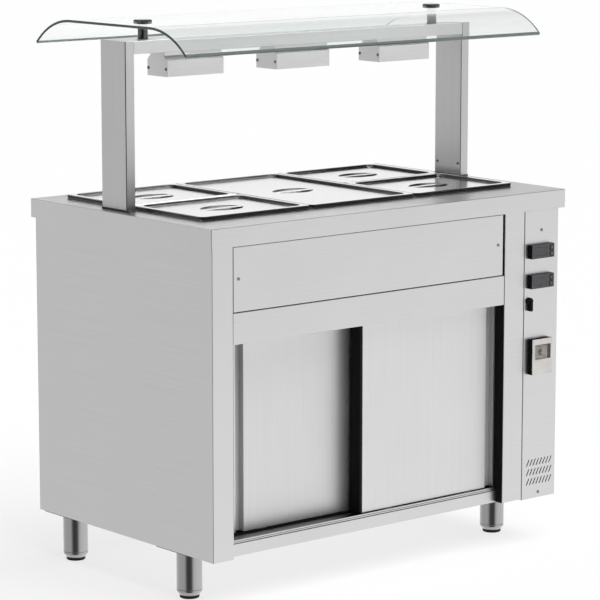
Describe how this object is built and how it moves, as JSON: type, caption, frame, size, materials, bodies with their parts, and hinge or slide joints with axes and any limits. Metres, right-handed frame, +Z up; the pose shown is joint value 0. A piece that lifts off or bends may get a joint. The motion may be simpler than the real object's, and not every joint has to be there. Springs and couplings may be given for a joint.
{
  "type": "bain-marie",
  "caption": "Bain-marie counter: a heated well with lidded pans under a gantry of heat lamps and a curved glass guard, over a hot cupboard with sliding doors.",
  "frame": {"origin": "on the floor under the middle of the whole object's box", "axes": "+X to the right seen from the front, +Y to the back, +Z up"},
  "size_m": [1.12, 0.713, 1.314],
  "materials": {
    "brushed_steel": "brushed satin stainless steel",
    "pan_steel": "polished stainless steel",
    "guard_glass": "clear toughened glass with a green edge",
    "black_plastic": "black moulded plastic",
    "dark_grey_plastic": "dark grey moulded plastic",
    "grey_plastic": "pale grey moulded plastic",
    "window_plastic": "clear tinted plastic in a pale frame",
    "element_metal": "dull metal sheath",
    "lamp_glass": "clear quartz",
    "brass": "cast valve body"
  },
  "bodies": {
    "cabinet": {"back_panel": "brushed_steel", "base_panel": "brushed_steel", "bottom_rail": "brushed_steel", "breaker_box": "grey_plastic", "cable_gland": "black_plastic", "circuit_breaker": "grey_plastic", "control_panel": "brushed_steel", "cross_bars": "brushed_steel", "cupboard_liner": "brushed_steel", "door_tracks": "black_plastic", "drain_valve": "brass", "fascia_panel": "brushed_steel", "glass_clamps": "brushed_steel", "glass_guard": "guard_glass", "heating_element": "element_metal", "jamb_trim": "black_plastic", "lamp_tubes": "lamp_glass", "left_lamp_hood": "brushed_steel", "left_post": "brushed_steel", "left_side_panel": "brushed_steel", "legs": "brushed_steel", "lower_thermostat": "dark_grey_plastic", "middle_lamp_hood": "brushed_steel", "partition_panel": "brushed_steel", "right_lamp_hood": "brushed_steel", "right_post": "brushed_steel", "right_side_panel": "brushed_steel", "right_stile": "brushed_steel", "screws": "brushed_steel", "top_beam": "brushed_steel", "upper_rail": "brushed_steel", "upper_thermostat": "dark_grey_plastic", "well_tank": "brushed_steel", "worktop": "brushed_steel"},
    "left_door": {"left_door": "brushed_steel", "left_door_trim": "black_plastic"},
    "right_door": {"right_door": "brushed_steel", "right_door_trim": "black_plastic"},
    "front_left_pan": {"front_left_pan": "pan_steel"},
    "front_left_lid": {"front_left_lid": "pan_steel"},
    "back_left_pan": {"back_left_pan": "pan_steel"},
    "back_left_lid": {"back_left_lid": "pan_steel"},
    "middle_pan": {"middle_pan": "pan_steel"},
    "middle_lid": {"middle_lid": "pan_steel"},
    "front_right_pan": {"front_right_pan": "pan_steel"},
    "front_right_lid": {"front_right_lid": "pan_steel"},
    "back_right_pan": {"back_right_pan": "pan_steel"},
    "back_right_lid": {"back_right_lid": "pan_steel"},
    "front_left_foot": {"front_left_foot": "brushed_steel"},
    "back_left_foot": {"back_left_foot": "brushed_steel"},
    "front_right_foot": {"front_right_foot": "brushed_steel"},
    "back_right_foot": {"back_right_foot": "brushed_steel"},
    "upper_thermostat_up_key": {"upper_thermostat_up_key": "black_plastic"},
    "upper_thermostat_down_key": {"upper_thermostat_down_key": "black_plastic"},
    "lower_thermostat_up_key": {"lower_thermostat_up_key": "black_plastic"},
    "lower_thermostat_down_key": {"lower_thermostat_down_key": "black_plastic"},
    "switch_knob": {"switch_knob": "black_plastic"},
    "breaker_toggle": {"breaker_toggle": "dark_grey_plastic"},
    "breaker_window": {"breaker_window": "window_plastic"},
    "drain_lever": {"drain_lever": "brass"}
  },
  "joints": [
    {"name": "left_door_slide", "type": "slide", "parent": "cabinet", "child": "left_door", "axis": [1, 0, 0], "range_m": [0, 0.344]},
    {"name": "right_door_slide", "type": "slide", "parent": "cabinet", "child": "right_door", "axis": [-1, 0, 0], "range_m": [0, 0.402]},
    {"name": "front_left_pan_lift", "type": "slide", "parent": "cabinet", "child": "front_left_pan", "axis": [0, 0, 1], "range_m": [0, 0.17]},
    {"name": "front_left_lid_lift", "type": "slide", "parent": "front_left_pan", "child": "front_left_lid", "axis": [0, 0, 1], "range_m": [0, 0.105]},
    {"name": "back_left_pan_lift", "type": "slide", "parent": "cabinet", "child": "back_left_pan", "axis": [0, 0, 1], "range_m": [0, 0.17]},
    {"name": "back_left_lid_lift", "type": "slide", "parent": "back_left_pan", "child": "back_left_lid", "axis": [0, 0, 1], "range_m": [0, 0.105]},
    {"name": "middle_pan_lift", "type": "slide", "parent": "cabinet", "child": "middle_pan", "axis": [0, 0, 1], "range_m": [0, 0.17]},
    {"name": "middle_lid_lift", "type": "slide", "parent": "middle_pan", "child": "middle_lid", "axis": [0, 0, 1], "range_m": [0, 0.105]},
    {"name": "front_right_pan_lift", "type": "slide", "parent": "cabinet", "child": "front_right_pan", "axis": [0, 0, 1], "range_m": [0, 0.17]},
    {"name": "front_right_lid_lift", "type": "slide", "parent": "front_right_pan", "child": "front_right_lid", "axis": [0, 0, 1], "range_m": [0, 0.105]},
    {"name": "back_right_pan_lift", "type": "slide", "parent": "cabinet", "child": "back_right_pan", "axis": [0, 0, 1], "range_m": [0, 0.17]},
    {"name": "back_right_lid_lift", "type": "slide", "parent": "back_right_pan", "child": "back_right_lid", "axis": [0, 0, 1], "range_m": [0, 0.105]},
    {"name": "front_left_foot_adjust", "type": "slide", "parent": "cabinet", "child": "front_left_foot", "axis": [0, 0, -1], "range_m": [0, 0.025]},
    {"name": "back_left_foot_adjust", "type": "slide", "parent": "cabinet", "child": "back_left_foot", "axis": [0, 0, -1], "range_m": [0, 0.025]},
    {"name": "front_right_foot_adjust", "type": "slide", "parent": "cabinet", "child": "front_right_foot", "axis": [0, 0, -1], "range_m": [0, 0.025]},
    {"name": "back_right_foot_adjust", "type": "slide", "parent": "cabinet", "child": "back_right_foot", "axis": [0, 0, -1], "range_m": [0, 0.025]},
    {"name": "upper_thermostat_up_key_press", "type": "slide", "parent": "cabinet", "child": "upper_thermostat_up_key", "axis": [0, 1, 0], "range_m": [0, 0.001], "stiffness_N_per_m": 300},
    {"name": "upper_thermostat_down_key_press", "type": "slide", "parent": "cabinet", "child": "upper_thermostat_down_key", "axis": [0, 1, 0], "range_m": [0, 0.001], "stiffness_N_per_m": 300},
    {"name": "lower_thermostat_up_key_press", "type": "slide", "parent": "cabinet", "child": "lower_thermostat_up_key", "axis": [0, 1, 0], "range_m": [0, 0.001], "stiffness_N_per_m": 300},
    {"name": "lower_thermostat_down_key_press", "type": "slide", "parent": "cabinet", "child": "lower_thermostat_down_key", "axis": [0, 1, 0], "range_m": [0, 0.001], "stiffness_N_per_m": 300},
    {"name": "switch_turn", "type": "hinge", "parent": "cabinet", "child": "switch_knob", "pos_m": [0.431, -0.3415, 0.607], "axis": [0, -1, 0], "range_deg": [0, 90]},
    {"name": "breaker_toggle_swing", "type": "hinge", "parent": "cabinet", "child": "breaker_toggle", "pos_m": [0.465, -0.3445, 0.4765], "axis": [1, 0, 0], "range_deg": [0, 60]},
    {"name": "breaker_window_hinge", "type": "hinge", "parent": "cabinet", "child": "breaker_window", "pos_m": [0.465, -0.35575, 0.512], "axis": [-1, 0, 0], "range_deg": [0, 100]},
    {"name": "drain_lever_turn", "type": "hinge", "parent": "cabinet", "child": "drain_lever", "pos_m": [0.425, 0.1052, 0.08], "axis": [0, 1, 0], "range_deg": [0, 90]}
  ]
}
